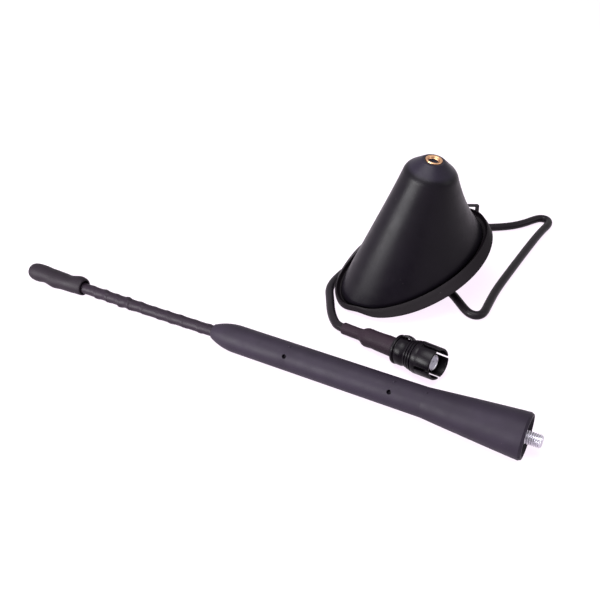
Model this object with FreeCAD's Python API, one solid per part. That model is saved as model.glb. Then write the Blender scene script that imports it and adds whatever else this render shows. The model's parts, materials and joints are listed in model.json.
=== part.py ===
"""Car roof aerial kit: unscrewed whip mast, tilted conical base and coax pigtail.

Millimetres. The floor is z = 0, +X runs along the lying mast from its tip to its stud,
and the origin is under the middle of the mast and the base together.
"""
import FreeCAD
import Part
import math
import os

from FreeCAD import Placement, Rotation, Vector

# ---------------------------------------------------------------- driving dimensions
# Mast, lying on the floor, x measured from the free end of its tip cap
MAST_X, MAST_Y = -118.0, -53.3
TIP_R, TIP_LEN, CAP_BORE, TIP_SHOULDER = 4.15, 32.0, 26.0, 9.0
WHIP_R, ROD_R, ROD_IN = 2.45, 1.3, 12.0
GRIP_START, GRIP_R, GRIP_LEN = 101.0, 5.85, 129.9
NOSE_LEN, FLARE_LEN, COLLAR_R, RIM_CHAMFER = 13.0, 38.0, 8.8, 1.0
RECESS_MOUTH_R, RECESS_R, RECESS_DEPTH, FLANGE_T = 7.6, 3.9, 5.6, 1.5
STUD_R, STUD_OUT, STUD_IN, STUD_ROOT_R = 2.5, 5.2, 20.0, 2.1
PIN_HOLE_R, PIN_HOLE_DEPTH = 0.9, 1.6
PIN_HOLES_AT = (136.5, 180.5)

# Base, modelled level about the middle of its gasket's underside: x rearwards, z up
BASE_POS = (39.3, 21.3)
BASE_YAW, BASE_RAISE, BASE_ROLL = 49.33, 22.75, 7.0
RIM_A, RIM_B = 37.8, 26.4
LIP_A, LIP_B, LIP_H, LIP_T = 36.9, 22.3, 3.1, 0.4
WELL_A, WELL_B, PAD_T = 35.4, 21.3, 1.2
FOOT_A, FOOT_B, FOOT_X, WALL = 34.65, 21.0, -0.4, 2.4
LEAN, HOLLOW_A, HOLLOW_B = 27.0, 1.7, 0.76
TOP_X, TOP_Z = 21.65, 47.55
CAP_H, CREASE_R, CREASE_STEP, CAP_TOP_R = 4.98, 10.92, 0.06, 4.67
INSERT_R, INSERT_LEN, INSERT_BORE_R, INSERT_BORE_LEN = 3.2, 12.0, 2.1, 10.4
INSERT_FLANGE_R, INSERT_FLANGE_T, INSERT_PROUD, MOUTH_CHAMFER = 3.45, 1.0, 0.4, 0.8
FEED_R = 1.0
CAVITY_TOP = 0.70

# Underside
PLATE_A, PLATE_B, PLATE_X, PLATE_TOP = 29.0, 16.2, 0.9, 3.6
RIB_AT, RIB_W, RIB_H, BOARD_T, CAN_H = (-10.0, 18.0), 4.0, 1.8, 1.2, 4.0
SHANK_X, SHANK_R, SHANK_BORE_R = 3.0, 7.0, 3.0
SPIGOT_L, SPIGOT_W, SPIGOT_Z = 15.0, 14.0, -1.0
HOOK_Y, HOOK_W, HOOK_LEG = 12.9, 1.3, (12.0, 16.0)
NUT_AF, NUT_TOP, NUT_H = 22.0, -4.4, 4.0
WASHER_R, WASHER_T, TOOTH_H = 11.0, 1.0, 1.2

# Coax pigtail
CORD_D = 3.8
GROMMET_R, GROMMET_LEN = 2.4, 5.0
PLUG_AT, PLUG_YAW = (26.97, -21.90), -12.0
THIN_R, THIN_LEN = 2.6, 10.0
THICK_START_R, THICK_R = 3.55, 3.8
SHELL_START, SHELL_END = 27.2, 47.0
FLANGE_R, FLANGE_LEN, NECK_R, NECK_END = 6.1, 1.3, 4.9, 33.4
GROOVES, GROOVE_PITCH, GROOVE_R = 3, 1.35, 5.6
BARREL_R, MOUTH_R, BARREL_BORE_R, BORE_START, LIP_BORE_R = 6.3, 6.55, 5.0, 37.6, 4.6
SLIT_W, SLIT_LEN = 1.4, 8.0
EYELET_TURN, EYELET_W = -36.0, 4.2
CONTACT_R, CONTACT_BORE_R, CONTACT_END, PIN_R = 3.05, 2.7, 45.2, 0.5

# Route of the pigtail from the base to the plug, chosen by hand
ROUTE = [
    (50.6, 23.3, 4.6),
    (55.9, 22.6, 4.4),
    (61.3, 21.9, 3.7),
    (65.6, 19.6, 2.9),
    (68.3, 16.4, 2.3),
    (71.3, 14.9, 2.05),
    (74.3, 15.8, 2.05),
    (75.7, 18.6, 2.05),
    (75.2, 22.3, 2.05),
    (74.3, 32.0, 2.05),
    (75.5, 50.0, 2.05),
    (77.5, 71.8, 2.05),
    (78.7, 89.8, 2.05),
    (79.5, 99.4, 2.05),
    (79.9, 103.2, 2.05),
    (79.5, 106.5, 2.05),
    (77.0, 108.7, 2.05),
    (73.7, 108.4, 2.05),
    (71.1, 105.9, 2.05),
    (66.5, 96.2, 2.05),
    (59.6, 89.7, 2.05),
    (50.3, 84.1, 2.05),
    (37.8, 74.5, 2.05),
    (26.2, 60.9, 2.05),
    (16.3, 44.4, 2.05),
    (9.9, 26.8, 2.05),
    (7.4, 11.6, 2.05),
    (7.9, 2.0, 2.05),
    (12.2, -5.6, 2.05),
    (16.8, -13.4, 2.05),
    (20.8, -18.7, 2.08),
    (23.865, -21.24, 2.175),
    (26.97, -21.9, 2.5792),
]

NODES = {}


# ---------------------------------------------------------------- helpers
def keep(name, shape):
    """Store one solid (or group of solids) under its node name."""
    NODES[name] = shape


def revolve_x(points):
    """Solid of revolution about X from an (x, r) outline; an entry of 4 numbers is an
    arc through (x, r) to (x2, r2)."""
    edges, here = [], None
    for entry in points:
        if len(entry) == 2:
            nxt = Vector(entry[0], entry[1], 0)
            if here is not None:
                edges.append(Part.makeLine(here, nxt))
        else:
            mid = Vector(entry[0], entry[1], 0)
            nxt = Vector(entry[2], entry[3], 0)
            edges.append(Part.Arc(here, mid, nxt).toShape())
        here = nxt
    first = Vector(points[0][0], points[0][1], 0)
    if here.distanceToPoint(first) > 1e-6:
        edges.append(Part.makeLine(here, first))
    face = Part.Face(Part.Wire(edges))
    return face.revolve(Vector(0, 0, 0), Vector(1, 0, 0), 360)


def cylinder(radius, length, start, direction=Vector(0, 0, 1)):
    return Part.makeCylinder(radius, length, Vector(*start), direction)


def tube(outer, inner, length, start, direction=Vector(0, 0, 1)):
    return cylinder(outer, length, start, direction).cut(cylinder(inner, length, start, direction))


def box(x0, x1, y0, y1, z0, z1):
    return Part.makeBox(x1 - x0, y1 - y0, z1 - z0, Vector(x0, y0, z0))


def ellipse(a, b, centre, tilt=0.0):
    """Ellipse wire, long axis a along X, its plane tilted by tilt degrees about Y."""
    curve = Part.Ellipse(Vector(0, 0, 0), max(a, b + 1e-4), b)
    wire = Part.Wire(curve.toShape())
    wire.Placement = Placement(Vector(*centre), Rotation(Vector(0, 1, 0), tilt))
    return wire


def elliptic_block(a, b, z0, z1, x=0.0):
    face = Part.Face(ellipse(a, b, (x, 0, z0)))
    return face.extrude(Vector(0, 0, z1 - z0))


# ---------------------------------------------------------------- placements
def mast_placement():
    """Lie the mast down on its tip cap and its collar."""
    tip_touch, collar_touch = TIP_SHOULDER, GRIP_START + GRIP_LEN - RIM_CHAMFER
    slope = math.atan((COLLAR_R - TIP_R) / (collar_touch - tip_touch))
    height = TIP_R * math.cos(slope) - tip_touch * math.sin(slope)
    turn = Rotation(Vector(0, 1, 0), -math.degrees(slope))
    return Placement(Vector(MAST_X, MAST_Y, height), turn)


def rim_drop():
    """How far the gasket's lowest rim point lies under the middle of its underside."""
    raise_z = math.sin(math.radians(BASE_RAISE))
    roll_z = math.cos(math.radians(BASE_RAISE)) * math.sin(math.radians(BASE_ROLL))
    return math.hypot(RIM_A * raise_z, RIM_B * roll_z)


def base_placement():
    turn = Rotation(BASE_YAW, -BASE_RAISE, BASE_ROLL)
    return Placement(Vector(BASE_POS[0], BASE_POS[1], rim_drop()), turn)


def plug_placement():
    """Lay the plug down on the end of its thin sleeve and its rear flange."""
    pitch = math.atan((FLANGE_R - THIN_R) / (SHELL_START + 0.3))
    height = THIN_R * math.cos(pitch)
    turn = Rotation(PLUG_YAW, -math.degrees(pitch), 0)
    return Placement(Vector(PLUG_AT[0], PLUG_AT[1], height), turn)


# ---------------------------------------------------------------- mast
def tip_cap():
    outline = [
        (0.0, 0.0), (0.9, 2.9, 3.4, TIP_R - 0.15), (TIP_SHOULDER, TIP_R), (TIP_LEN - 8, TIP_R - 0.1),
        (TIP_LEN - 1.2, TIP_R - 0.3), (TIP_LEN, TIP_R - 0.8),
        (TIP_LEN, WHIP_R), (TIP_LEN - CAP_BORE, WHIP_R), (TIP_LEN - CAP_BORE, 0.0),
    ]
    return revolve_x(outline)


def whip_rod():
    start, end = TIP_LEN - CAP_BORE, GRIP_START + ROD_IN
    return cylinder(ROD_R, end - start, (start, 0, 0), Vector(1, 0, 0))


def whip_sleeve():
    start, end = TIP_LEN - CAP_BORE, GRIP_START + ROD_IN
    return tube(WHIP_R, ROD_R, end - start, (start, 0, 0), Vector(1, 0, 0))


def grip():
    """Rubber grip: blunt nose, straight barrel, long flare and a conical end recess."""
    end = GRIP_START + GRIP_LEN
    nose_end = GRIP_START + NOSE_LEN
    flare = end - FLARE_LEN
    body = revolve_x([
        (GRIP_START, WHIP_R), (GRIP_START, 3.1), (GRIP_START + 5.0, 4.9, nose_end, GRIP_R - 0.1),
        (flare, GRIP_R),
        (flare + 0.5 * FLARE_LEN, GRIP_R + 1.6, end - 3.0, COLLAR_R - 0.12),
        (end - RIM_CHAMFER, COLLAR_R), (end, COLLAR_R - 0.5), (end, RECESS_MOUTH_R),
        (end - RECESS_DEPTH, RECESS_R), (end - RECESS_DEPTH, STUD_ROOT_R),
        (end - STUD_IN, STUD_ROOT_R), (end - STUD_IN, 0.0), (GRIP_START + ROD_IN, 0.0),
        (GRIP_START + ROD_IN, WHIP_R),
    ])
    for x in PIN_HOLES_AT:
        body = body.cut(cylinder(PIN_HOLE_R, GRIP_R, (x, 0, 0), pin_hole_direction())
                        .cut(cylinder(GRIP_R - PIN_HOLE_DEPTH, 400, (-50, 0, 0), Vector(1, 0, 0))))
    return body


def pin_hole_direction():
    """The mould's core pins stood at this angle round the grip."""
    return Vector(0, -math.cos(math.radians(38)), math.sin(math.radians(38)))


def stud():
    """M5 stud, its plain root moulded into the grip, with a chamfered free end."""
    end = GRIP_START + GRIP_LEN
    thread_start = end - RECESS_DEPTH + FLANGE_T
    return revolve_x([
        (end - STUD_IN, 0), (end - STUD_IN, STUD_ROOT_R), (thread_start, STUD_ROOT_R),
        (thread_start, STUD_R), (end + STUD_OUT - 0.6, STUD_R),
        (end + STUD_OUT, STUD_R - 0.6), (end + STUD_OUT, 0),
    ])


def stud_flange():
    """Lugged ring that keeps the stud from turning in the grip."""
    root = GRIP_START + GRIP_LEN - RECESS_DEPTH
    ring = tube(3.5, STUD_ROOT_R, 0.8, (root, 0, 0), Vector(1, 0, 0))
    for turn in (0, 90, 180, 270):
        lug = box(root, root + FLANGE_T, 2.9, 3.6, -0.7, 0.7)
        lug.rotate(Vector(0, 0, 0), Vector(1, 0, 0), turn)
        ring = ring.fuse(lug)
    return ring.removeSplitter()


# ---------------------------------------------------------------- base
def lean_vector():
    return Vector(math.sin(math.radians(LEAN)), 0, math.cos(math.radians(LEAN)))


def housing_section(t, inset=0.0):
    """Section of the leaning cone at share t of its height, from the foot to the crease."""
    crease = Vector(TOP_X, 0, TOP_Z) - lean_vector() * CAP_H
    hollow = 4 * t * (1 - t)
    x = FOOT_X + (crease.x - FOOT_X) * t - FOOT_X * hollow
    z = PAD_T + (crease.z - PAD_T) * t
    end_r = CREASE_R + CREASE_STEP
    a = FOOT_A + (end_r - FOOT_A) * t - HOLLOW_A * hollow
    b = FOOT_B + (end_r - FOOT_B) * t - HOLLOW_B * hollow
    return ellipse(a - inset, b - inset, (x, 0, z), LEAN * t)


def housing():
    """Moulded cone with its 45 degree cap, hollow from below up to the insert's boss."""
    skin = Part.makeLoft([housing_section(t) for t in (0.0, 0.25, 0.5, 0.75, 1.0)], True, False)
    top = Vector(TOP_X, 0, TOP_Z)
    cap = Part.makeCone(CREASE_R, CAP_TOP_R, CAP_H, top - lean_vector() * CAP_H, lean_vector())
    cavity = Part.makeLoft([housing_section(t, WALL) for t in (0.0, 0.35, CAVITY_TOP)], True, False)
    body = skin.fuse(cap).cut(cavity)
    down = lean_vector() * -1
    body = body.cut(cylinder(INSERT_R, INSERT_LEN, top, down))
    body = body.cut(cylinder(INSERT_FLANGE_R, INSERT_FLANGE_T, top, down))
    return body.cut(cylinder(FEED_R, TOP_Z, top, down))


def insert():
    """Brass M5 insert with a flange at its mouth."""
    top = Vector(TOP_X, 0, TOP_Z)
    down = lean_vector() * -1
    face = top + lean_vector() * INSERT_PROUD
    flange = cylinder(INSERT_FLANGE_R, INSERT_FLANGE_T + INSERT_PROUD, face, down)
    body = cylinder(INSERT_R, INSERT_LEN, top, down).fuse(flange)
    body = body.cut(cylinder(INSERT_BORE_R, INSERT_BORE_LEN, face, down))
    mouth = Part.makeCone(INSERT_BORE_R, INSERT_BORE_R + MOUTH_CHAMFER, MOUTH_CHAMFER,
                          face - lean_vector() * MOUTH_CHAMFER, lean_vector())
    return body.cut(mouth).removeSplitter()


def feed_rod():
    """Aerial feed from the insert down to the circuit board."""
    top = Vector(TOP_X, 0, TOP_Z) + lean_vector() * -INSERT_LEN
    board_top = PLATE_TOP + RIB_H + BOARD_T
    reach = (top.z - board_top - FEED_R * math.sin(math.radians(LEAN))) / lean_vector().z
    return cylinder(FEED_R, reach, top, lean_vector() * -1)


def gasket():
    """Rubber gasket: flat pad, raised lip round the housing, opening for the spigot."""
    outer = Part.makeLoft([ellipse(RIM_A, RIM_B, (0, 0, 0)), ellipse(LIP_A, LIP_B, (0, 0, LIP_H))],
                          True, False)
    well = Part.makeLoft([ellipse(WELL_A, WELL_B, (0, 0, PAD_T)),
                          ellipse(LIP_A - LIP_T, LIP_B - LIP_T, (0, 0, LIP_H))], True, False)
    window = box(SHANK_X - SPIGOT_L / 2 - 0.4, SHANK_X + SPIGOT_L / 2 + 0.4,
                 -SPIGOT_W / 2 - 0.4, SPIGOT_W / 2 + 0.4, 0, PAD_T)
    hook_slot = box(HOOK_LEG[0] - 0.4, HOOK_LEG[1] + 0.4, HOOK_Y - 0.4, HOOK_Y + HOOK_W + 0.4, 0, PAD_T)
    return outer.cut(well).cut(window).cut(hook_slot)


def mounting_plate():
    """Die-cast plate that closes the housing, with the spigot that keys it to the roof."""
    plate = elliptic_block(PLATE_A, PLATE_B, PAD_T, PLATE_TOP, PLATE_X)
    spigot = box(SHANK_X - SPIGOT_L / 2, SHANK_X + SPIGOT_L / 2, -SPIGOT_W / 2, SPIGOT_W / 2,
                 SPIGOT_Z, PLATE_TOP)
    spigot = spigot.makeFillet(2.5, [e for e in spigot.Edges if abs(e.tangentAt(0).z) > 0.9])
    body = plate.fuse(spigot)
    for x in RIB_AT:
        body = body.fuse(box(x - RIB_W / 2, x + RIB_W / 2, -9, 9, PLATE_TOP, PLATE_TOP + RIB_H))
    body = body.cut(cylinder(SHANK_BORE_R, 10, (SHANK_X, 0, -4)))
    return body.removeSplitter()


def shank_end():
    """Level of the shank's free end, which stands on the floor with its lowest edge."""
    up = base_placement().Rotation.multVec(Vector(0, 0, 1)).z
    rear = math.sin(math.radians(BASE_RAISE))
    return -(rim_drop() + SHANK_X * rear - SHANK_R * math.sqrt(1 - up * up)) / up


def shank():
    """Hollow threaded shank with an open side slot for the pigtail."""
    low = shank_end()
    body = tube(SHANK_R, SHANK_BORE_R, SPIGOT_Z - low, (SHANK_X, 0, low))
    exit_point, inward = grommet_line()
    slot = cylinder(GROMMET_R, GROMMET_LEN, exit_point, inward)
    way_out = slot.copy()
    way_out.translate(Vector(0, 0, -GROMMET_R))
    return body.cut(slot).cut(way_out).removeSplitter()


def grommet_line():
    """Start of the pigtail in the base's level frame, and its way into the base."""
    level = base_placement().inverse()
    start = level.multVec(Vector(*ROUTE[0]))
    second = level.multVec(Vector(*ROUTE[1]))
    return start, (start - second).normalize()


def grommet():
    start, inward = grommet_line()
    return cylinder(GROMMET_R, GROMMET_LEN, start, inward)


def washer():
    """Spring steel claw washer with eight teeth that bite the roof sheet."""
    plate = tube(WASHER_R, SHANK_R + 0.3, WASHER_T, (SHANK_X, 0, NUT_TOP))
    far, level = SHANK_X + WASHER_R - 0.4, NUT_TOP + WASHER_T
    outline = [Vector(far, -0.6, level), Vector(far, -0.6, level + TOOTH_H), Vector(far - 1.7, -0.6, level)]
    claw = Part.Face(Part.makePolygon(outline + outline[:1])).extrude(Vector(0, 1.2, 0))
    for count in range(8):
        tooth = claw.copy()
        tooth.rotate(Vector(SHANK_X, 0, 0), Vector(0, 0, 1), 45 * count + 22.5)
        plate = plate.fuse(tooth)
    return plate.removeSplitter()


def nut():
    """Thin hexagon nut, chamfered on its free side."""
    corner = NUT_AF / 2 / math.cos(math.radians(30))
    points = [Vector(SHANK_X + corner * math.cos(math.radians(60 * k)),
                     corner * math.sin(math.radians(60 * k)), NUT_TOP - NUT_H) for k in range(7)]
    body = Part.Face(Part.makePolygon(points)).extrude(Vector(0, 0, NUT_H))
    dome = Part.makeCone(corner - 1.2, corner + 1.4 * NUT_H, NUT_H * 1.35,
                         Vector(SHANK_X, 0, NUT_TOP - NUT_H))
    return body.common(dome).cut(cylinder(SHANK_R + 0.05, NUT_H, (SHANK_X, 0, NUT_TOP - NUT_H)))


def latch_hook():
    """Rear latch hook: stiff arm under the gasket with a thin sprung barb folded back."""
    front, rear = HOOK_LEG
    outline = [
        (front, PAD_T), (front, -3.4), (35.0, -5.1), (39.6, -9.6), (40.9, -9.4), (42.0, -5.0),
        (35.9, -0.4), (35.4, -1.1), (40.6, -5.1), (40.0, -7.6), (36.0, -3.9), (rear, -2.3), (rear, PAD_T),
    ]
    points = [Vector(x, HOOK_Y, z) for x, z in outline]
    face = Part.Face(Part.makePolygon(points + points[:1]))
    return face.extrude(Vector(0, HOOK_W, 0))


def circuit_board():
    low = PLATE_TOP + RIB_H
    return box(-14, 22, -10.5, 10.5, low, low + BOARD_T)


def shield_can():
    low = PLATE_TOP + RIB_H + BOARD_T
    return box(5, 18, -7, 7, low, low + CAN_H)


# ---------------------------------------------------------------- pigtail
def cord_path(points):
    """Straight runs joined by tangent arcs, each arc as large as its two runs allow."""
    pts = [Vector(*p) for p in points]
    edges, radii, start = [], [], pts[0]
    for before, corner, after in zip(pts, pts[1:], pts[2:]):
        back, ahead = before - corner, after - corner
        run = min(back.Length, ahead.Length)
        back.normalize()
        ahead.normalize()
        half_turn = (math.pi - back.getAngle(ahead)) / 2
        reach = 0.45 * run
        first, last = corner + back * reach, corner + ahead * reach
        radius = reach / math.tan(half_turn)
        radii.append(radius)
        towards = (back + ahead).normalize()
        middle = corner + towards * (radius / math.cos(half_turn) - radius)
        edges.append(Part.makeLine(start, first))
        edges.append(Part.Arc(first, middle, last).toShape())
        start = last
    edges.append(Part.makeLine(start, pts[-1]))
    return Part.Wire(edges), radii


def cord():
    path, radii = cord_path(ROUTE)
    start = Vector(*ROUTE[0])
    section = Part.Wire(Part.makeCircle(CORD_D / 2, start, Vector(*ROUTE[1]) - start))
    solid = path.makePipeShell([section], True, False)
    print("bend radii", [round(r, 1) for r in radii])
    print("cord length %.1f, volume share %.4f"
          % (path.Length, solid.Volume / (path.Length * math.pi * CORD_D ** 2 / 4)))
    return solid


def thin_sleeve():
    return cylinder(THIN_R, THIN_LEN, (0, 0, 0), Vector(1, 0, 0))


def thick_sleeve():
    """Heat-shrink sleeve with a sloped shoulder over the crimp."""
    end = SHELL_START + FLANGE_LEN
    return revolve_x([
        (THIN_LEN, 0), (THIN_LEN, THIN_R + 0.1), (THIN_LEN + 2.2, THICK_START_R - 0.1),
        (THIN_LEN + 4.0, THICK_START_R), (SHELL_START, THICK_R), (end, THICK_R), (end, 0),
    ])


def plug_shell():
    """Push-fit shell: rear flange, ring grooves, barrel cut into four fingers, eyelet arch."""
    flange_end = SHELL_START + FLANGE_LEN
    rings = []
    for count in range(GROOVES):
        at = NECK_END + count * GROOVE_PITCH
        rings += [(at, BARREL_R - 0.1), (at + 0.7, BARREL_R - 0.1), (at + 0.8, GROOVE_R),
                  (at + 1.25, GROOVE_R)]
    at = NECK_END + GROOVES * GROOVE_PITCH
    body = revolve_x([
        (SHELL_START, THICK_R), (SHELL_START, FLANGE_R - 0.3), (SHELL_START + 0.3, FLANGE_R),
        (flange_end, FLANGE_R), (flange_end, NECK_R), (NECK_END, NECK_R)] + rings + [
        (at, BARREL_R), (SHELL_END - 0.4, MOUTH_R), (SHELL_END, MOUTH_R - 0.4),
        (SHELL_END, LIP_BORE_R), (SHELL_END - 0.8, LIP_BORE_R), (SHELL_END - 1.4, BARREL_BORE_R),
        (BORE_START, BARREL_BORE_R), (BORE_START, CONTACT_R), (flange_end, CONTACT_R),
        (flange_end, THICK_R)])
    for turn in (0, 90, 180, 270):
        slit = box(SHELL_END - SLIT_LEN, SHELL_END, -SLIT_W / 2, SLIT_W / 2, 0, MOUTH_R + 1)
        slit.rotate(Vector(0, 0, 0), Vector(1, 0, 0), turn)
        body = body.cut(slit)
    return body.fuse(eyelet_arch()).removeSplitter()


def eyelet_arch():
    """Small bridge from the rear flange to the first ring, with a block under it."""
    flange_end = SHELL_START + FLANGE_LEN
    ring = tube(FLANGE_R, FLANGE_R - 0.8, NECK_END - flange_end + 0.6, (flange_end - 0.3, 0, 0),
                Vector(1, 0, 0))
    arch = ring.common(box(flange_end - 0.3, NECK_END + 0.3, -EYELET_W / 2, EYELET_W / 2, 0, FLANGE_R))
    block = box(flange_end - 0.3, flange_end + 2.0, -0.7, 0.7, NECK_R - 0.5, FLANGE_R - 0.4)
    arch = arch.fuse(block)
    arch.rotate(Vector(0, 0, 0), Vector(1, 0, 0), EYELET_TURN)
    return arch


def outer_contact():
    """Metal crimp body and outer contact, open at the front round the insulator."""
    start = SHELL_START + FLANGE_LEN
    body = cylinder(CONTACT_R, CONTACT_END - start, (start, 0, 0), Vector(1, 0, 0))
    return body.cut(cylinder(CONTACT_BORE_R, CONTACT_END, (start + 1.0, 0, 0), Vector(1, 0, 0)))


def insulator():
    start = SHELL_START + FLANGE_LEN + 1.0
    return tube(CONTACT_BORE_R, PIN_R, CONTACT_END - 0.2 - start, (start, 0, 0), Vector(1, 0, 0))


def centre_contact():
    start = SHELL_START + FLANGE_LEN + 1.0
    return cylinder(PIN_R, CONTACT_END + 0.1 - start, (start, 0, 0), Vector(1, 0, 0))


# ---------------------------------------------------------------- assembly
def place(shape, placement):
    out = shape.copy()
    out.Placement = placement.multiply(out.Placement)
    return out


def build():
    groups = [
        (mast_placement(), {
            "tip_cap": tip_cap, "whip_rod": whip_rod, "whip_sleeve": whip_sleeve, "mast_grip": grip,
            "mast_stud": stud, "stud_flange": stud_flange}),
        (base_placement(), {
            "housing": housing, "brass_insert": insert, "feed_rod": feed_rod, "gasket": gasket,
            "mounting_plate": mounting_plate, "mounting_shank": shank, "cable_grommet": grommet,
            "claw_washer": washer, "mounting_nut": nut, "latch_hook": latch_hook,
            "circuit_board": circuit_board, "shield_can": shield_can}),
        (plug_placement(), {
            "thin_sleeve": thin_sleeve, "thick_sleeve": thick_sleeve, "plug_shell": plug_shell,
            "outer_contact": outer_contact, "insulator": insulator,
            "centre_contact": centre_contact}),
        (Placement(), {"pigtail": cord}),
    ]
    for placement, makers in groups:
        for name, maker in makers.items():
            keep(name, place(maker(), placement))


os.makedirs("parts", exist_ok=True)
build()
for node, shape in NODES.items():
    if not shape.isValid():
        print("not valid:", node)
    shape.exportStep("parts/%s.step" % node)
whole = Part.makeCompound(list(NODES.values()))
print("nodes", len(NODES), "box", whole.BoundBox)
print("shank end", round(shank_end(), 3), "rim drop", round(rim_drop(), 3))
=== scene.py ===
"""Looks of the car roof aerial kit: lying whip mast, tilted conical base, coax pigtail.

Metres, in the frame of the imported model: floor at z = 0, +X along the lying mast.
"""
import json
import math
import random

import bpy
import bmesh
from mathutils import Matrix, Vector


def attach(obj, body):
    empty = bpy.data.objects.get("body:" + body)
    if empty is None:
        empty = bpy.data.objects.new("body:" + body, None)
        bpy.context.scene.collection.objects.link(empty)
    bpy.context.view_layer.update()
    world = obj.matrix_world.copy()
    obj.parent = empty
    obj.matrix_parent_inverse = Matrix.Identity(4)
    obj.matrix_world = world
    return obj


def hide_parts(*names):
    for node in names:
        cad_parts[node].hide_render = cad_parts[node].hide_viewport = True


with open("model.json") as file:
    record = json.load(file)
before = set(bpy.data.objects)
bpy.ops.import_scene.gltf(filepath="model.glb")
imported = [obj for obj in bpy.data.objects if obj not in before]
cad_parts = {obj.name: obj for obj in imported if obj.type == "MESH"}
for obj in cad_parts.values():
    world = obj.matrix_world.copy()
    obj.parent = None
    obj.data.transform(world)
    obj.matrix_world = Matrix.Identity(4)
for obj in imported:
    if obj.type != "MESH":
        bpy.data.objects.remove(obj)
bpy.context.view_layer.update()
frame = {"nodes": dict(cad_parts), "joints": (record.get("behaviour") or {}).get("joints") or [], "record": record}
NODES = frame["nodes"]
MOUNTS = {m["name"]: m for m in frame["record"]["mounts"]}
JOINTS = {j["name"]: j for j in frame["joints"]}
MM = 0.001

# ---------------------------------------------------------------- named sizes, in metres
CAMERA_AT = Vector((0.1366, -0.2622, 0.2117))
CAMERA_DOWN, CAMERA_TURN, CAMERA_LENS = 36.42, 28.53, 48.0
CORD_D = 3.8 * MM
TIP_R = 4.15 * MM
WHIP_R, WHIP_START, WHIP_END = 2.45 * MM, 6.0 * MM, 113.0 * MM
STUD_R, STUD_ROOT_R, STUD_OUT, STUD_IN = 2.5 * MM, 2.1 * MM, 5.2 * MM, 20.0 * MM
STUD_PITCH, STUD_DEPTH, STUD_CHAMFER = 0.8 * MM, 0.32 * MM, 0.7 * MM
GRIP_END, THREAD_BACK = 230.9 * MM, 4.1 * MM

# Base, level, in millimetres: the same driving sizes as the solid's
ROOF_FACE_X = -22.0
RIM_A, RIM_B, LIP_A, LIP_B, LIP_H, LIP_T = 37.8, 26.4, 36.9, 22.3, 3.1, 0.4
WELL_A, WELL_B, PAD_T = 35.4, 21.3, 1.2
WINDOW_X, WINDOW_L, WINDOW_W = 3.0, 15.8, 14.8
FOOT_A, FOOT_B, FOOT_X, WALL = 34.65, 21.0, -0.4, 2.4
LEAN, HOLLOW_A, HOLLOW_B = 27.0, 1.7, 0.76
TOP_X, TOP_Z, CAP_H, CREASE_R, CAP_TOP_R = 21.65, 47.55, 4.98, 10.92, 4.67
SEAT_R, CAVITY_TOP = 3.5, 0.7
CABLE_SIDE = 204  # degrees round the base at which the cable passes the rim
AROUND_STEPS = 144

# The pigtail's route in metres: its own points, given inside the solid's box
ROUTE = [Vector(p) * MM for p in (
    (50.6, 23.3, 4.6),
    (55.4, 22.7, 4.4),
    (59.4, 21.1, 4.0),
    (63.8, 17.8, 3.0),
    (67.8, 14.8, 2.2),
    (70.8, 13.4, 2.05),
    (73.6, 14.0, 2.05),
    (75.2, 17.0, 2.05),
    (74.9, 24.0, 2.05),
    (74.6, 36.0, 2.05),
    (75.6, 52.0, 2.05),
    (77.0, 71.8, 2.05),
    (78.3, 88.0, 2.05),
    (79.4, 97.2, 2.05),
    (80.4, 102.6, 2.05),
    (80.3, 106.4, 2.05),
    (78.2, 108.7, 2.05),
    (75.2, 108.2, 2.05),
    (72.8, 105.2, 2.05),
    (69.6, 99.6, 2.05),
    (65.2, 94.2, 2.05),
    (59.0, 89.3, 2.05),
    (50.3, 84.0, 2.05),
    (37.8, 74.5, 2.05),
    (26.2, 60.9, 2.05),
    (16.3, 44.4, 2.05),
    (10.1, 26.8, 2.05),
    (7.5, 11.6, 2.05),
    (7.9, 2.0, 2.05),
    (12.2, -5.6, 2.05),
    (16.7, -13.6, 2.05),
    (20.8, -18.7, 2.08),
    (23.865, -21.24, 2.175),
    (26.97, -21.9, 2.5792),
)]
PLUG_LEN, SLIT_LEN, SLIT_W = 47.0, 8.0, 1.5
FINGER_WAVE, FINGER_LONGEST = 0.6, 338
MOUTH_OUT = 5.4 * MM  # from the mount in the bore out to the insert's mouth
INSERT_AXIS = Vector(MOUNTS["mast_socket"]["axis"]).normalized()
INSERT_MOUTH = Vector(MOUNTS["mast_socket"]["pos_m"]) + INSERT_AXIS * MOUTH_OUT


# ---------------------------------------------------------------- node-tree helpers
def new_material(name):
    """Empty Principled material; returns it with its tree, its shader and its coordinates."""
    mat = bpy.data.materials.new(name)
    mat.use_nodes = True
    tree = mat.node_tree
    tree.nodes.clear()
    out = tree.nodes.new("ShaderNodeOutputMaterial")
    shader = tree.nodes.new("ShaderNodeBsdfPrincipled")
    tree.links.new(shader.outputs["BSDF"], out.inputs["Surface"])
    coords = tree.nodes.new("ShaderNodeTexCoord")
    return mat, tree, shader, coords.outputs["Object"]


def noise(tree, coords, size, detail=3.0, roughness=0.55, stretch=None):
    """Noise whose features are about size metres across, stretched along an axis if asked."""
    if stretch:
        mapping = tree.nodes.new("ShaderNodeMapping")
        mapping.inputs["Scale"].default_value = stretch
        tree.links.new(coords, mapping.inputs["Vector"])
        coords = mapping.outputs["Vector"]
    tex = tree.nodes.new("ShaderNodeTexNoise")
    tex.inputs["Scale"].default_value = 1.0 / size
    tex.inputs["Detail"].default_value = detail
    tex.inputs["Roughness"].default_value = roughness
    tree.links.new(coords, tex.inputs["Vector"])
    return tex.outputs["Fac"]


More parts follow.
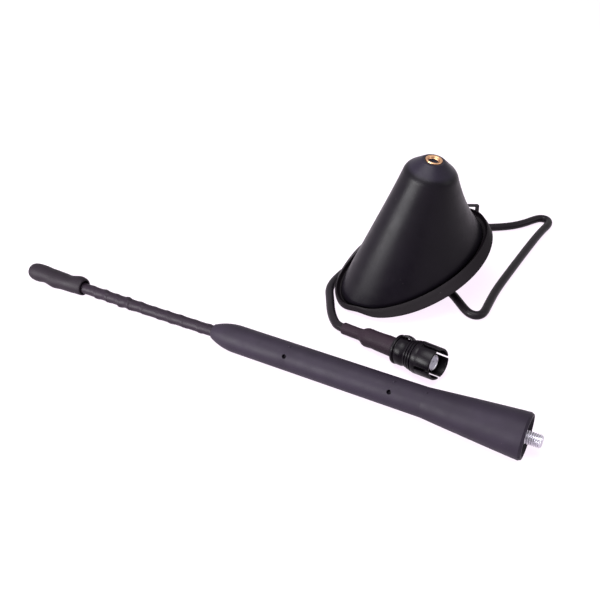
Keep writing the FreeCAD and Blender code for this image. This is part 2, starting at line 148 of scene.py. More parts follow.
def ramp(tree, value, stops):
    """Colour ramp over value; stops are (position, colour)."""
    node = tree.nodes.new("ShaderNodeValToRGB")
    elements = node.color_ramp.elements
    while len(elements) < len(stops):
        elements.new(0.5)
    for element, (place, colour) in zip(elements, stops):
        element.position = place
        element.color = (*colour, 1.0)
    tree.links.new(value, node.inputs["Fac"])
    return node.outputs["Color"]


def spread(tree, value, low, high, start=0.3, end=0.7):
    """Value remapped from start..end to low..high."""
    node = tree.nodes.new("ShaderNodeMapRange")
    node.inputs["From Min"].default_value = start
    node.inputs["From Max"].default_value = end
    node.inputs["To Min"].default_value = low
    node.inputs["To Max"].default_value = high
    tree.links.new(value, node.inputs["Value"])
    return node.outputs["Result"]


def bump(tree, shader, height, depth):
    node = tree.nodes.new("ShaderNodeBump")
    node.inputs["Distance"].default_value = depth
    tree.links.new(height, node.inputs["Height"])
    tree.links.new(node.outputs["Normal"], shader.inputs["Normal"])


def mix_colour(tree, share, low, high):
    node = tree.nodes.new("ShaderNodeMix")
    node.data_type = "RGBA"
    tree.links.new(share, node.inputs["Factor"])
    for socket, colour in ((node.inputs["A"], low), (node.inputs["B"], high)):
        if isinstance(colour, tuple):
            socket.default_value = (*colour, 1.0)
        else:
            tree.links.new(colour, socket)
    return node.outputs["Result"]


# ---------------------------------------------------------------- materials
def moulded(name, colour, rough, grain=0.35 * MM, depth=0.012 * MM, dust=True, specular=0.5,
            painted_highlight=None):
    """Moulded plastic or rubber: near-black with cloudy tone, fine grain and a little dust.
    The last argument is (axis, start, colour): past start along axis the surface is painted paler, a painted
    highlight that stands in for the top lamp's reflection on the cap."""
    mat, tree, shader, coords = new_material(name)
    shader.inputs["Specular IOR Level"].default_value = specular
    cloud = noise(tree, coords, 9 * MM, detail=4)
    low = tuple(c * 0.86 for c in colour)
    high = tuple(min(1.0, c * 1.16) for c in colour)
    tone = ramp(tree, cloud, [(0.3, low), (0.7, high)])
    if dust:
        specks = noise(tree, coords, 0.9 * MM, detail=1)
        share = spread(tree, specks, 0.0, 0.5, 0.8, 0.88)
        tone = mix_colour(tree, share, tone, (0.16, 0.15, 0.155))
    # Painted highlight: past a plane across the axis, the colour is painted paler where the surface would catch
    # the top light.
    if painted_highlight:
        axis, start, highlight_tone = painted_highlight
        along = tree.nodes.new("ShaderNodeVectorMath")
        along.operation = "DOT_PRODUCT"
        along.inputs[1].default_value = axis
        tree.links.new(coords, along.inputs[0])
        past = spread(tree, along.outputs["Value"], 0.0, 1.0, start, start + 1.2 * MM)
        tone = mix_colour(tree, past, tone, highlight_tone)
    tree.links.new(tone, shader.inputs["Base Color"])
    patches = noise(tree, coords, 5 * MM, detail=3)
    tree.links.new(spread(tree, patches, rough - 0.05, rough + 0.05), shader.inputs["Roughness"])
    bump(tree, shader, noise(tree, coords, grain, detail=2), depth)
    return mat


def metal(name, colour, rough, streak=(1, 1, 1), grain=0.25 * MM, depth=0.004 * MM):
    """Metal with tone and roughness that vary along a machining direction."""
    mat, tree, shader, coords = new_material(name)
    shader.inputs["Metallic"].default_value = 1.0
    tone = noise(tree, coords, 1.2 * MM, stretch=streak)
    low = tuple(c * 0.8 for c in colour)
    tree.links.new(ramp(tree, tone, [(0.3, low), (0.7, colour)]), shader.inputs["Base Color"])
    lines = noise(tree, coords, grain, detail=2, stretch=streak)
    tree.links.new(spread(tree, lines, rough - 0.08, rough + 0.08), shader.inputs["Roughness"])
    bump(tree, shader, lines, depth)
    return mat


def white_insulator():
    mat, tree, shader, coords = new_material("insulator_white")
    tone = noise(tree, coords, 1.5 * MM)
    tree.links.new(ramp(tree, tone, [(0.3, (0.52, 0.50, 0.60)), (0.7, (0.62, 0.60, 0.70))]),
                   shader.inputs["Base Color"])
    shader.inputs["Roughness"].default_value = 0.45
    shader.inputs["Subsurface Weight"].default_value = 0.15
    shader.inputs["Subsurface Radius"].default_value = (0.6 * MM, 0.6 * MM, 0.7 * MM)
    shader.inputs["Subsurface Scale"].default_value = 1.0
    bump(tree, shader, noise(tree, coords, 0.3 * MM), 0.006 * MM)
    return mat


def board_green():
    mat, tree, shader, coords = new_material("board_green")
    weave = noise(tree, coords, 0.6 * MM, stretch=(1, 8, 1))
    tree.links.new(ramp(tree, weave, [(0.3, (0.012, 0.09, 0.03)), (0.7, (0.02, 0.14, 0.05))]),
                   shader.inputs["Base Color"])
    shader.inputs["Roughness"].default_value = 0.35
    bump(tree, shader, weave, 0.01 * MM)
    return mat


MATERIALS = {
    "grip": moulded("grip_rubber", (0.0145, 0.0105, 0.0185), 0.55, specular=0.12),
    "cap": moulded("cap_rubber", (0.0062, 0.0032, 0.0068), 0.6, grain=0.5 * MM, depth=0.03 * MM,
                   specular=0.16),
    "whip": moulded("whip_shrink", (0.0095, 0.0052, 0.0105), 0.5, grain=0.4 * MM, depth=0.02 * MM,
                    dust=False, specular=0.14),
    "housing": moulded("housing_plastic", (0.0035, 0.0026, 0.0045), 0.38, grain=0.22 * MM,
                       depth=0.008 * MM, specular=0.10,
                       # Painted highlight: the cap above the crease is painted paler than the cone, in place of
                       # the top lamp's reflection.
                       painted_highlight=(INSERT_AXIS, INSERT_AXIS.dot(INSERT_MOUTH) - CAP_H * MM,
                             (0.0125, 0.0100, 0.0175))),
    "gasket": moulded("gasket_rubber", (0.0035, 0.0020, 0.0035), 0.55, grain=0.4 * MM,
                      specular=0.12),
    "jacket": moulded("cord_jacket", (0.0060, 0.0040, 0.0064), 0.4, grain=0.3 * MM,
                      depth=0.006 * MM, specular=0.13),
    "shrink": moulded("plug_shrink", (0.0155, 0.0085, 0.0140), 0.58, grain=0.5 * MM,
                      depth=0.03 * MM, specular=0.12),
    "plug": moulded("plug_plastic", (0.0030, 0.0018, 0.0036), 0.34, grain=0.4 * MM, depth=0.01 * MM,
                    specular=0.11),
    "hook": moulded("hook_plastic", (0.012, 0.009, 0.013), 0.45, dust=False, specular=0.15),
    "brass": metal("insert_brass", (0.60, 0.34, 0.19), 0.32, streak=(1, 1, 6)),
    "zinc": metal("stud_zinc", (0.56, 0.54, 0.60), 0.34, streak=(6, 1, 1)),
    "steel": metal("plain_steel", (0.55, 0.55, 0.56), 0.35),
    "cast": metal("die_cast", (0.46, 0.46, 0.48), 0.5, grain=0.5 * MM, depth=0.02 * MM),
    "tin": metal("tinned_sheet", (0.72, 0.72, 0.74), 0.3),
    "white": white_insulator(),
    "board": board_green(),
}
NODE_FINISH = {
    "tip_cap": "cap", "whip_rod": "steel", "whip_sleeve": "whip", "mast_grip": "grip",
    "mast_stud": "zinc", "stud_flange": "zinc", "housing": "housing", "brass_insert": "brass",
    "feed_rod": "brass", "gasket": "gasket", "mounting_plate": "cast", "mounting_shank": "cast",
    "cable_grommet": "gasket", "claw_washer": "zinc", "mounting_nut": "zinc", "latch_hook": "hook",
    "circuit_board": "board", "shield_can": "tin", "thin_sleeve": "shrink",
    "thick_sleeve": "shrink", "plug_shell": "plug", "outer_contact": "zinc",
    "insulator": "white", "centre_contact": "brass", "pigtail": "jacket",
}


def paint(obj, finish):
    obj.data.materials.clear()
    obj.data.materials.append(MATERIALS[finish])


# ---------------------------------------------------------------- mesh helpers
def mesh_object(name, bm, finish, body):
    """Smooth object from a bmesh in the row frame, painted and riding on its body."""
    mesh = bpy.data.meshes.new(name)
    bmesh.ops.recalc_face_normals(bm, faces=bm.faces)
    bm.to_mesh(mesh)
    bm.free()
    for face in mesh.polygons:
        face.use_smooth = True
    obj = bpy.data.objects.new(name, mesh)
    bpy.context.scene.collection.objects.link(obj)
    paint(obj, finish)
    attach(obj, body)
    return obj


def lathe(bm, rings, matrix, steps=96):
    """Skin between rings given as functions of the angle: each returns (x, r)."""
    rows = []
    for ring in rings:
        row = []
        for k in range(steps):
            angle = 2 * math.pi * k / steps
            x, r = ring(angle)
            row.append(bm.verts.new(matrix @ Vector((x, r * math.cos(angle), r * math.sin(angle)))))
        rows.append(row)
    for a, b in zip(rows, rows[1:]):
        for k in range(steps):
            n = (k + 1) % steps
            bm.faces.new((a[k], a[n], b[n], b[k]))
    return rows


def cap_ends(bm, rows):
    """Close the first and the last ring with a face each."""
    bm.faces.new(rows[0])
    bm.faces.new(rows[-1])


def subdivide(obj, levels):
    modifier = obj.modifiers.new("smooth", "SUBSURF")
    modifier.levels = levels
    modifier.render_levels = levels


def axis_matrix(origin, direction):
    """Matrix whose X axis is direction, standing at origin."""
    x = Vector(direction).normalized()
    y = Vector((0, 0, 1)).cross(x)
    y = y.normalized() if y.length > 1e-6 else Vector((0, 1, 0))
    z = x.cross(y)
    turn = Matrix((x, y, z)).transposed().to_4x4()
    return Matrix.Translation(Vector(origin)) @ turn


def fixed(value_x, value_r):
    return lambda angle: (value_x, value_r)


# ---------------------------------------------------------------- mast frame
MAST_AXIS = Vector(JOINTS["mast_turn"]["axis"]).normalized()
COLLAR_CENTRE = Vector(JOINTS["mast_turn"]["pos_m"])
MAST_ORIGIN = COLLAR_CENTRE - MAST_AXIS * GRIP_END
MAST = axis_matrix(MAST_ORIGIN, MAST_AXIS)


def threaded(bm, matrix, start, end, radius, pitch, depth, steps=48, per_turn=12, chamfer=0.0):
    """External thread: rings whose radius follows the helix, tapering at a chamfered end."""
    count = int((end - start) / pitch * per_turn)
    rings = []
    for k in range(count + 1):
        x = start + (end - start) * k / count

        def ring(angle, x=x):
            phase = (x / pitch - angle / (2 * math.pi)) % 1.0
            crest = 1 - abs(2 * phase - 1)
            r = radius - depth * (1 - min(1.0, max(0.0, crest * 1.5 - 0.2)))
            limit = radius - max(0.0, chamfer - (end - x))
            return x, min(r, limit)
        rings.append(ring)
    return lathe(bm, rings, matrix, steps)


def make_stud():
    """M5 stud: plain root in the grip, thread from its flange to the chamfered end."""
    bm = bmesh.new()
    root = [fixed(GRIP_END - STUD_IN, STUD_ROOT_R), fixed(GRIP_END - THREAD_BACK, STUD_ROOT_R)]
    rows = lathe(bm, root, MAST, 48)
    cap_ends(bm, rows)
    rows = threaded(bm, MAST, GRIP_END - THREAD_BACK, GRIP_END + STUD_OUT, STUD_R, STUD_PITCH,
                    STUD_DEPTH, chamfer=STUD_CHAMFER)
    cap_ends(bm, rows)
    stud = mesh_object("stud_thread", bm, "zinc", "mast")
    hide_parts("mast_stud")


def make_whip():
    """Shrink sleeve over the wound whip: a soft spiral ridge of uneven pitch and height."""
    rng = random.Random(4)
    length = WHIP_END - WHIP_START
    edges, heights = [0.0], []
    while edges[-1] < length:
        edges.append(edges[-1] + rng.uniform(5.6, 7.8) * MM)
        heights.append(rng.uniform(0.12, 0.25) * MM)
    for number, height in ((5, 0.36), (6, 0.22), (7, 0.5), (8, 0.28)):
        heights[number] = height * MM
    steps, count = 40, int(length / MM * 3)

    def turn_at(x):
        for number, (low, high) in enumerate(zip(edges, edges[1:])):
            if x < high:
                return number, (x - low) / (high - low)
        return len(heights) - 1, 1.0

    def ring(x):
        number, along = turn_at(x)

        def radius(angle):
            phase = (along - angle / (2 * math.pi)) % 1.0
            width = 0.13 + 0.22 * heights[number] / MM
            ridge = math.exp(-((phase - 0.5) / width) ** 2)
            return WHIP_START + x, WHIP_R - 0.12 * MM + heights[number] * ridge
        return radius

    bm = bmesh.new()
    rows = lathe(bm, [ring(length * k / count) for k in range(count + 1)], MAST, steps)
    drop = MAST.to_3x3() @ Vector((0, 0, -0.55 * MM))
    for k, row in enumerate(rows):
        bow = math.sin(math.pi * k / count) ** 2
        for vert in row:
            vert.co += drop * bow
    cap_ends(bm, rows)
    whip = mesh_object("whip_winding", bm, "whip", "mast")
    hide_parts("whip_sleeve")


def make_tip_cap():
    """Soft rubber tip: round end, slightly lumpy barrel and an open mouth round the whip."""
    outline = [(0.0, 0.0), (0.05, 0.9), (0.35, 1.9), (0.95, 2.85), (1.9, 3.55), (3.4, 3.98),
               (5.6, 4.12)]
    outline += [(5.6 + 1.4 * k, 4.14 - 0.006 * k) for k in range(1, 18)]
    outline += [(31.0, 3.92), (31.75, 3.7), (32.0, 3.4), (31.9, 3.05), (31.3, 2.8),
                (29.5, 2.62), (6.0, 2.5), (6.0, 0.0)]
    lumps = [(12.5, 1.0, 2.6, -0.35), (17.8, 1.0, 3.0, -0.45), (23.0, 1.0, 2.6, -0.7),
             (29.2, 1.0, 2.4, 0.5), (10.0, -2.3, 2.6, -0.5), (15.8, -2.6, 2.8, 0.5),
             (22.5, 2.6, 2.4, 0.2), (28.8, -2.3, 2.2, -0.25)]

    def ring(x, r):
        def radius(angle):
            swell = 0.0
            if r > 3.0:
                for place, turn, width, height in lumps:
                    around = math.cos(angle - turn)
                    swell += height * math.exp(-((x - place) / width) ** 2) * max(0.0, around) ** 2
                swell = min(swell, TIP_R / MM - r) if x < 9.5 else swell
            return x * MM, max(1e-6, (r + swell) * MM)
        return radius

    bm = bmesh.new()
    rows = lathe(bm, [ring(x, r) for x, r in outline], MAST, 72)
    cap_ends(bm, rows)
    cap = mesh_object("tip_rubber", bm, "cap", "mast")
    subdivide(cap, 1)
    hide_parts("tip_cap")


def make_grip_marks():
    """What the mould left on the grip: two nubs, a gate scar and flash on the collar's rim."""
    spots = [(136.9, 5.85, 96, 0.55, 0.34), (180.9, 5.85, 98, 0.5, 0.3),
             (193.6, 6.05, 101, 0.35, 0.16), (230.2, 8.55, 200, 0.5, 0.34)]
    bm = bmesh.new()
    for x, r, turn, size, height in spots:
        angle = math.radians(turn)
        out = Vector((0, math.cos(angle), math.sin(angle)))
        along = Vector((1, 0, 0))
        turn_to = Matrix((along, out.cross(along) * -1, out)).transposed().to_4x4()
        place = MAST @ Matrix.Translation(Vector((x, 0, 0)) * MM + out * (r - 0.08) * MM) @ turn_to
        bmesh.ops.create_uvsphere(bm, u_segments=20, v_segments=12, radius=1.0, matrix=(
            place @ Matrix.Diagonal((size * MM, size * 0.8 * MM, (height + 0.08) * MM, 1))))
    mesh_object("grip_nubs", bm, "grip", "mast")


# ---------------------------------------------------------------- base
BASE_UP = -Vector(MOUNTS["roof_face"]["axis"]).normalized()
BASE_REAR = (INSERT_AXIS - BASE_UP * INSERT_AXIS.dot(BASE_UP)).normalized()
BASE_SIDE = BASE_UP.cross(BASE_REAR)
BASE = (Matrix.Translation(Vector(MOUNTS["roof_face"]["pos_m"]) - BASE_REAR * ROOF_FACE_X * MM)
        @ Matrix((BASE_REAR, BASE_SIDE, BASE_UP)).transposed().to_4x4() @ Matrix.Scale(MM, 4))


def loops_skin(bm, loops, matrix):
    """Skin over closed loops of points given in the matrix's own units."""
    rows = [[bm.verts.new(matrix @ Vector(p)) for p in loop] for loop in loops]
    for a, b in zip(rows, rows[1:]):
        for k in range(len(a)):
            n = (k + 1) % len(a)
            bm.faces.new((a[k], a[n], b[n], b[k]))
    return rows


def around():
    return [2 * math.pi * k / AROUND_STEPS for k in range(AROUND_STEPS)]


def tilted_loop(x, z, a, b, tilt):
    """Ellipse of half-axes a and b round (x, 0, z), tilted about the side axis."""
    return [Vector((x + a * math.cos(u) * math.cos(tilt), b * math.sin(u),
                    z - a * math.cos(u) * math.sin(tilt))) for u in around()]


def cone_loop(t, inset=0.0):
    """Section of the leaning cone at share t of its height, as a loop of points."""
    lean = math.radians(LEAN)
    crease_x, crease_z = TOP_X - math.sin(lean) * CAP_H, TOP_Z - math.cos(lean) * CAP_H
    hollow = 4 * t * (1 - t)
    x = FOOT_X + (crease_x - FOOT_X) * t - FOOT_X * hollow
    z = PAD_T + (crease_z - PAD_T) * t
    a = FOOT_A + (CREASE_R - FOOT_A) * t - HOLLOW_A * hollow - inset
    b = FOOT_B + (CREASE_R - FOOT_B) * t - HOLLOW_B * hollow - inset
    return tilted_loop(x, z, a, b, lean * t)


def cap_loop(down, radius):
    """Circle round the insert's axis, down millimetres below the cap's top."""
    lean = math.radians(LEAN)
    x, z = TOP_X - math.sin(lean) * down, TOP_Z - math.cos(lean) * down
    return tilted_loop(x, z, radius, radius, lean)


def rounded(before, corner, after, steps=5):
    """Loops that round the corner between two loops."""
    loops = []
    for k in range(1, steps):
        w = k / steps
        loops.append([p * (1 - w) ** 2 + q * 2 * w * (1 - w) + r * w ** 2
                      for p, q, r in zip(before, corner, after)])
    return loops


def make_housing():
    """Moulded cone with a rounded crease, its short cap and the insert's seat."""
    slope = (CREASE_R - CAP_TOP_R) / CAP_H
    under, over = cone_loop(0.965), cap_loop(CAP_H - 1.1, CREASE_R - 1.1 * slope)
    shoulder = cap_loop(0.35, CAP_TOP_R + 0.35 * slope)
    brim = cap_loop(0.0, CAP_TOP_R - 0.35)
    outer = [cone_loop(0.965 * k / 24) for k in range(25)]
    outer += rounded(under, cap_loop(CAP_H, CREASE_R), over, 8)
    outer += [over, cap_loop(2.4, CAP_TOP_R + 2.4 * slope), shoulder]
    outer += rounded(shoulder, cap_loop(0.0, CAP_TOP_R), brim) + [brim]
    outer += [cap_loop(0.0, SEAT_R + 0.12), cap_loop(0.1, SEAT_R), cap_loop(1.0, SEAT_R)]
    inner = [cone_loop(CAVITY_TOP * (1 - k / 6), WALL) for k in range(7)]
    bm = bmesh.new()
    rows = loops_skin(bm, inner + outer, BASE)
    cap_ends(bm, rows)
    housing = mesh_object("housing_skin", bm, "housing", "base")
    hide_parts("housing")


def rim_wave(angle):
    """How far the soft rim stands out or in, in millimetres, at an angle round the base."""
    wave = 0.0
    for place, width, height in ((CABLE_SIDE, 13, -1.25), (228, 14, -0.35), (300, 34, 0.42),
                                 (131, 13, -0.45), (352, 9, -0.3), (40, 22, 0.2),
                                 (80, 15, -0.2)):
        apart = (math.degrees(angle) - place + 180) % 360 - 180
        wave += height * math.exp(-(apart / width) ** 2)
    return wave


def rim_lift(angle):
    """How far the soft rim is pushed up where the cable runs beside it."""
    apart = (math.degrees(angle) - CABLE_SIDE + 180) % 360 - 180
    return 1.6 * math.exp(-(apart / 15) ** 2)


def oval(a, b, z, wave=0.0):
    loop = []
    for u in around():
        share = 1 + wave * rim_wave(u) / math.hypot(a * math.cos(u), b * math.sin(u))
        loop.append(Vector((a * share * math.cos(u), b * share * math.sin(u),
                            z + wave * rim_lift(u))))
    return loop


def window_loop(length, width, z):
    """Rounded rectangle round the spigot, with its points in line with the oval's."""
    loop = []
    for u in around():
        c, s = math.cos(u), math.sin(u)
        reach = (abs(c * 2 / length) ** 8 + abs(s * 2 / width) ** 8) ** (-1 / 8)
        loop.append(Vector((WINDOW_X + reach * c, reach * s, z)))
    return loop


def make_gasket():
    """Soft gasket: flat pad, outward-sloping wall with a slightly wavy, thin lip."""
    lip = LIP_T * 0.5
    loops = [window_loop(WINDOW_L, WINDOW_W, PAD_T), oval(18, 13, PAD_T), oval(29, 18, PAD_T),
             oval(WELL_A, WELL_B, PAD_T), oval(WELL_A + 0.3, WELL_B + 0.12, PAD_T + 0.25, 0.1),
             oval(LIP_A - LIP_T - 0.1, LIP_B - LIP_T - 0.1, LIP_H - 0.5, 0.5),
             oval(LIP_A - LIP_T, LIP_B - LIP_T, LIP_H - 0.12, 0.6),
             oval(LIP_A - lip, LIP_B - lip, LIP_H, 0.6), oval(LIP_A, LIP_B, LIP_H - 0.1, 0.6),
             oval(LIP_A + 0.3, LIP_B + 1.3, LIP_H * 0.66, 0.8),
             oval(LIP_A + 0.6, LIP_B + 2.7, LIP_H * 0.33, 0.95),
             oval(RIM_A - 0.1, RIM_B - 0.12, 0.22, 1.0), oval(RIM_A, RIM_B, 0.1, 1.0),
             oval(RIM_A - 0.12, RIM_B - 0.12, 0.0, 1.0), oval(29, 20, 0.0), oval(18, 13, 0.0),
             window_loop(WINDOW_L, WINDOW_W, 0.0), window_loop(WINDOW_L, WINDOW_W, PAD_T)]
    bm = bmesh.new()
    loops_skin(bm, loops, BASE)
    bmesh.ops.remove_doubles(bm, verts=bm.verts, dist=1e-7)
    gasket = mesh_object("gasket_rubber", bm, "gasket", "base")
    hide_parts("gasket")


def make_insert():
    """Brass insert: flanged ring with a chamfered, threaded bore."""
    bm = bmesh.new()
    matrix = axis_matrix(INSERT_MOUTH, INSERT_AXIS)
    bore, depth, pitch, bottom = 2.1 * MM, 0.36 * MM, 0.8 * MM, -10.0 * MM
    outline = [(-12.4, 0.01), (-12.4, 3.2), (-1.4, 3.2), (-1.4, 3.45), (-0.15, 3.45), (0.0, 3.3),
               (0.0, 2.95), (-0.2, 2.78)]
    rings = [fixed(x * MM, r * MM) for x, r in outline]
    count = int((-bottom - 0.2 * MM) / pitch * 12)
    for k in range(count + 1):
        x = -0.2 * MM + (bottom + 0.2 * MM) * k / count

        def ring(angle, x=x):
            phase = (x / pitch - angle / (2 * math.pi)) % 1.0
            groove = abs(2 * phase - 1)
            mouth = max(0.0, 2.75 * MM + x * 0.8 - bore)
            return x, bore + max(depth * groove, mouth)
        rings.append(ring)
    rings.append(fixed(bottom, 0.01 * MM))
    rows = lathe(bm, rings, matrix, 64)
    cap_ends(bm, rows)
    insert = mesh_object("insert_thread", bm, "brass", "base")
    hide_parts("brass_insert")


# ---------------------------------------------------------------- plug
PLUG_AXIS = Vector(MOUNTS["plug_mating"]["axis"]).normalized()
PLUG_START = Vector(MOUNTS["plug_mating"]["pos_m"]) - PLUG_AXIS * PLUG_LEN * MM
PLUG = axis_matrix(PLUG_START, PLUG_AXIS) @ Matrix.Scale(MM, 4)


def spin(name, outline, finish, nodes, steps=72, shape=None):
    """Piece of the plug: an outline of (x, r) millimetres spun round its axis, ends capped."""
    def ring(x, r):
        return lambda angle: (x, r + (shape(x, angle) if shape else 0.0))

    bm = bmesh.new()
    rows = lathe(bm, [ring(x, r) for x, r in outline], PLUG, steps)
    cap_ends(bm, rows)
    piece = mesh_object(name, bm, finish, "base")
    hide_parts(*nodes)
    return piece


def shrink_wrinkle(x, angle):
    """Shallow dents that shrinking leaves in a sleeve, fading at its ends."""
    fade = min(1.0, max(0.25, (x - 8.0) / 4.0), max(0.0, x) / 1.5, max(0.0, 29.0 - x) / 2.0)
    return fade * (0.07 * math.sin(2 * angle + 0.55 * x)
                   + 0.05 * math.sin(3 * angle - 0.9 * x + 1.0))


def add_slab(bm, profile_out, profile_in, low, high, steps=10):
    """Curved slab between two profiles of (x, r), spanning the angles from low to high."""
    grids = []
    for profile in (profile_out, profile_in):
        grid = []
        for k in range(steps + 1):
            angle = low + (high - low) * k / steps
            grid.append([bm.verts.new(PLUG @ Vector((x(angle) if callable(x) else x,
                                                     r * math.cos(angle), r * math.sin(angle))))
                         for x, r in profile])
        grids.append(grid)
    out, inn = grids
    last = len(profile_out) - 1
    for k in range(steps):
        for grid in grids:
            for i in range(last):
                bm.faces.new((grid[k][i], grid[k + 1][i], grid[k + 1][i + 1], grid[k][i + 1]))
        for i in (0, last):
            bm.faces.new((out[k][i], out[k + 1][i], inn[k + 1][i], inn[k][i]))
    for k in (0, steps):
        for i in range(last):
            bm.faces.new((out[k][i], out[k][i + 1], inn[k][i + 1], inn[k][i]))


def make_shell():
    """Push-fit shell: flange, eyelet, growing grooved rings and four springy fingers."""
    bm = bmesh.new()
    start = PLUG_LEN - SLIT_LEN
    outline = [(27.2, 3.6), (27.2, 5.7), (27.35, 5.98), (27.65, 6.1), (28.2, 6.1), (28.42, 5.98),
               (28.5, 5.7), (28.55, 5.4), (28.9, 5.35), (29.0, 5.1), (32.9, 5.2)]
    for at, r in ((33.2, 5.75), (34.5, 6.1), (35.8, 6.4)):
        outline += [(at, r - 0.12), (at + 0.12, r), (at + 0.72, r + 0.08), (at + 0.86, r - 0.05),
                    (at + 0.95, r - 0.5), (at + 1.22, r - 0.45)]
    outline += [(37.15, 6.45), (37.35, 6.68), (38.0, 6.72), (start + 0.3, 6.7), (start + 0.3, 5.8),
                (37.7, 5.8), (37.4, 5.5), (37.3, 3.0)]
    rows = lathe(bm, [fixed(x, r) for x, r in outline], PLUG, 96)
    cap_ends(bm, rows)

    def end(angle):
        wave = math.cos(angle - math.radians(FINGER_LONGEST))
        return PLUG_LEN - FINGER_WAVE + FINGER_WAVE * wave

    def near_end(angle):
        return end(angle) - 0.3

    half = math.asin(SLIT_W / 2 / 6.6)
    for turn in range(4):
        low, high = math.pi / 2 * turn + half, math.pi / 2 * (turn + 1) - half
        add_slab(bm, [(start, 6.7), (41.5, 6.66), (near_end, 6.58), (end, 6.4)],
                 [(start, 5.8), (41.5, 5.82), (near_end, 5.7), (end, 5.85)], low, high)
    crown = math.radians(54)
    collar = [(28.95, 5.3), (29.0, 5.7), (29.2, 5.9), (31.2, 5.9), (31.7, 5.72), (32.8, 5.25)]
    add_slab(bm, collar, [(x, 4.8) for x, r in collar], crown + 0.6, crown + 2 * math.pi - 0.6, 60)
    arch_out = [(28.1, 5.7), (28.5, 6.12), (29.2, 6.5), (30.2, 6.7), (31.3, 6.68), (32.4, 6.38),
                (33.2, 5.95), (33.6, 5.6)]
    arch_in = [(28.1, 5.1), (28.9, 5.55), (29.6, 5.86), (30.3, 6.02), (31.2, 6.0), (32.0, 5.75),
               (32.7, 5.4), (33.6, 5.0)]
    add_slab(bm, arch_out, arch_in, crown - 0.34, crown + 0.34, 8)
    add_slab(bm, [(28.3, 5.75), (29.6, 5.7), (30.3, 5.3)], [(28.3, 5.0), (29.6, 5.0), (30.3, 5.0)],
             crown - 0.13, crown + 0.13, 4)
    shell = mesh_object("plug_fingers", bm, "plug", "base")
    soften(shell, 0.14 * MM)
    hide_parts("plug_shell")
    return shell


def soften(obj, width):
    """Rounded edges where faces meet at more than 35 degrees."""
    modifier = obj.modifiers.new("edges", "BEVEL")
    modifier.limit_method = "ANGLE"
    modifier.angle_limit = math.radians(35)
    modifier.width = width
    modifier.segments = 2


def make_plug():
    """Heat-shrink sleeves, shell, contact, insulator and pin, as pieces that ride on the base."""
    sleeve = spin(
        "plug_sleeve",
        [(-0.05, 1.92), (-0.05, 2.4), (0.12, 2.52), (0.8, 2.55), (3.0, 2.52), (5.0, 2.55),
         (7.0, 2.52), (8.8, 2.56), (9.6, 2.68), (10.2, 2.95), (10.9, 3.37), (11.6, 3.72),
         (12.4, 3.92), (13.6, 3.95), (16.0, 3.9), (19.0, 3.96), (22.0, 3.98), (25.0, 4.04),
         (27.4, 4.06), (27.4, 1.0)],
        "shrink", ["thin_sleeve", "thick_sleeve"], shape=shrink_wrinkle)
    contact = spin(
        "contact_ring",
        [(28.5, 1.0), (28.5, 3.15), (44.1, 3.15), (44.3, 3.1), (44.35, 2.98), (44.25, 2.84),
         (43.6, 2.8), (43.6, 1.0)],
        "zinc", ["outer_contact"], steps=64)
    white = spin(
        "insulator_disc",
        [(29.5, 0.6), (29.5, 2.7), (43.75, 2.7), (43.98, 2.62), (44.05, 2.45), (44.05, 0.62),
         (43.9, 0.5), (43.0, 0.45), (43.0, 0.02)],
        "white", ["insulator"], steps=64)
    pin = spin(
        "pin_tip",
        [(29.5, 0.02), (29.5, 0.36), (43.6, 0.36), (43.75, 0.25), (43.8, 0.02)],
        "steel", ["centre_contact"], steps=24)
    return [sleeve, make_shell(), contact, white, pin]


# ---------------------------------------------------------------- cord
def make_cord(plug_pieces):
    curve = bpy.data.curves.new("coax_pigtail", "CURVE")
    curve.dimensions = "3D"
    spline = curve.splines.new("NURBS")
    spline.points.add(len(ROUTE) - 1)
    for point, place in zip(spline.points, ROUTE):
        point.co = (*place, 1.0)
    spline.order_u = 3
    spline.use_endpoint_u = True
    spline.resolution_u = 12
    curve.bevel_depth = CORD_D / 2
    curve.bevel_resolution = 8
    curve.use_fill_caps = True
    cord = bpy.data.objects.new("coax_pigtail", curve)
    bpy.context.scene.collection.objects.link(cord)
    curve.materials.append(MATERIALS["jacket"])
    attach(cord, "base")
    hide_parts("pigtail")


# ---------------------------------------------------------------- stage
def camera_ray_share(tree):
    """1 where the camera, a glossy or a transmitted ray looks, 0 for diffuse light."""
    path = tree.nodes.new("ShaderNodeLightPath")
    total = path.outputs["Is Camera Ray"]
    for name in ("Is Glossy Ray", "Is Transmission Ray"):
        node = tree.nodes.new("ShaderNodeMath")
        node.operation = "MAXIMUM"
        tree.links.new(total, node.inputs[0])
        tree.links.new(path.outputs[name], node.inputs[1])
        total = node.outputs["Value"]
    return total


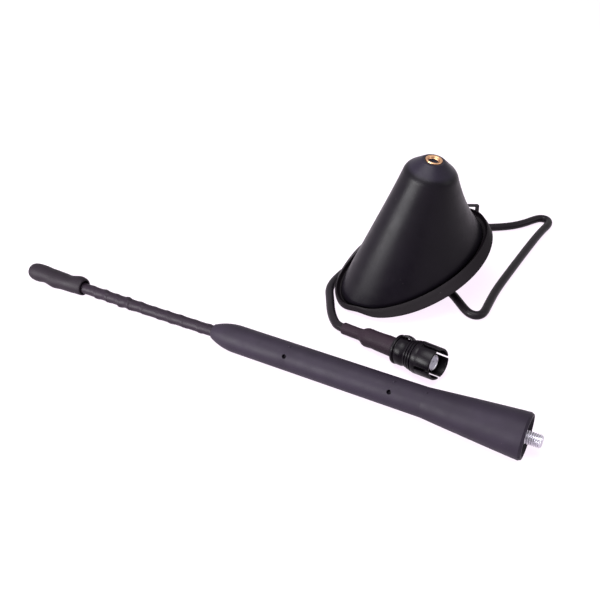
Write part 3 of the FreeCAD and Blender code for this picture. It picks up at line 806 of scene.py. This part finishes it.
def make_floor():
    bm = bmesh.new()
    bmesh.ops.create_grid(bm, x_segments=1, y_segments=1, size=6.0)
    mesh = bpy.data.meshes.new("floor")
    bm.to_mesh(mesh)
    bm.free()
    floor = bpy.data.objects.new("floor", mesh)
    floor.location = (0, 0, -0.0002)
    bpy.context.scene.collection.objects.link(floor)
    mat = bpy.data.materials.new("floor_paper")
    mat.use_nodes = True
    tree = mat.node_tree
    tree.nodes.clear()
    out = tree.nodes.new("ShaderNodeOutputMaterial")
    paper = tree.nodes.new("ShaderNodeBsdfDiffuse")
    paper.inputs["Color"].default_value = (0.20, 0.20, 0.20, 1)
    glow = tree.nodes.new("ShaderNodeEmission")
    glow.inputs["Color"].default_value = (1.0, 0.88, 1.0, 1)
    strength = spread(tree, camera_ray_share(tree), 0.35, 0.96, 0.0, 1.0)
    tree.links.new(strength, glow.inputs["Strength"])
    both = tree.nodes.new("ShaderNodeAddShader")
    tree.links.new(paper.outputs["BSDF"], both.inputs[0])
    tree.links.new(glow.outputs["Emission"], both.inputs[1])
    tree.links.new(both.outputs["Shader"], out.inputs["Surface"])
    mesh.materials.append(mat)


def make_world():
    world = bpy.data.worlds.new("studio")
    bpy.context.scene.world = world
    world.use_nodes = True
    tree = world.node_tree
    tree.nodes.clear()
    out = tree.nodes.new("ShaderNodeOutputWorld")
    back = tree.nodes.new("ShaderNodeBackground")
    back.inputs["Color"].default_value = (1.0, 0.99, 1.0, 1)
    strength = spread(tree, camera_ray_share(tree), 0.22, 1.0, 0.0, 1.0)
    tree.links.new(strength, back.inputs["Strength"])
    tree.links.new(back.outputs["Background"], out.inputs["Surface"])


def area_light(name, place, target, size, watts):
    data = bpy.data.lights.new(name, "AREA")
    data.shape = "RECTANGLE"
    data.size, data.size_y = size
    data.energy = watts
    lamp = bpy.data.objects.new(name, data)
    lamp.location = place
    lamp.rotation_mode = "QUATERNION"
    lamp.rotation_quaternion = (Vector(target) - Vector(place)).to_track_quat("-Z", "Y")
    bpy.context.scene.collection.objects.link(lamp)


def make_camera():
    data = bpy.data.cameras.new("camera")
    data.sensor_width = 36.0
    data.lens = CAMERA_LENS
    data.clip_start = 0.01
    camera = bpy.data.objects.new("camera", data)
    camera.location = CAMERA_AT
    camera.rotation_euler = (math.radians(90 - CAMERA_DOWN), 0, math.radians(CAMERA_TURN))
    bpy.context.scene.collection.objects.link(camera)
    bpy.context.scene.camera = camera


def make_lights():
    area_light("key_left", (-0.29, -0.53, 0.15), (0.03, 0.02, 0.03), (0.45, 0.26), 10.0)
    area_light("top_front", (-0.05, -0.22, 0.72), (0.03, 0.02, 0.02), (0.62, 0.42), 7.5)
    area_light("fill_right", (0.70, 0.16, 0.34), (0.04, 0.02, 0.03), (0.34, 0.34), 0.8)


for node_name, finish_name in NODE_FINISH.items():
    paint(NODES[node_name], finish_name)
make_camera()
make_floor()
make_world()
make_lights()
make_cord(make_plug())
make_stud()
make_whip()
make_tip_cap()
make_grip_marks()
make_insert()
make_housing()
make_gasket()
bpy.context.scene.view_settings.view_transform = "Standard"
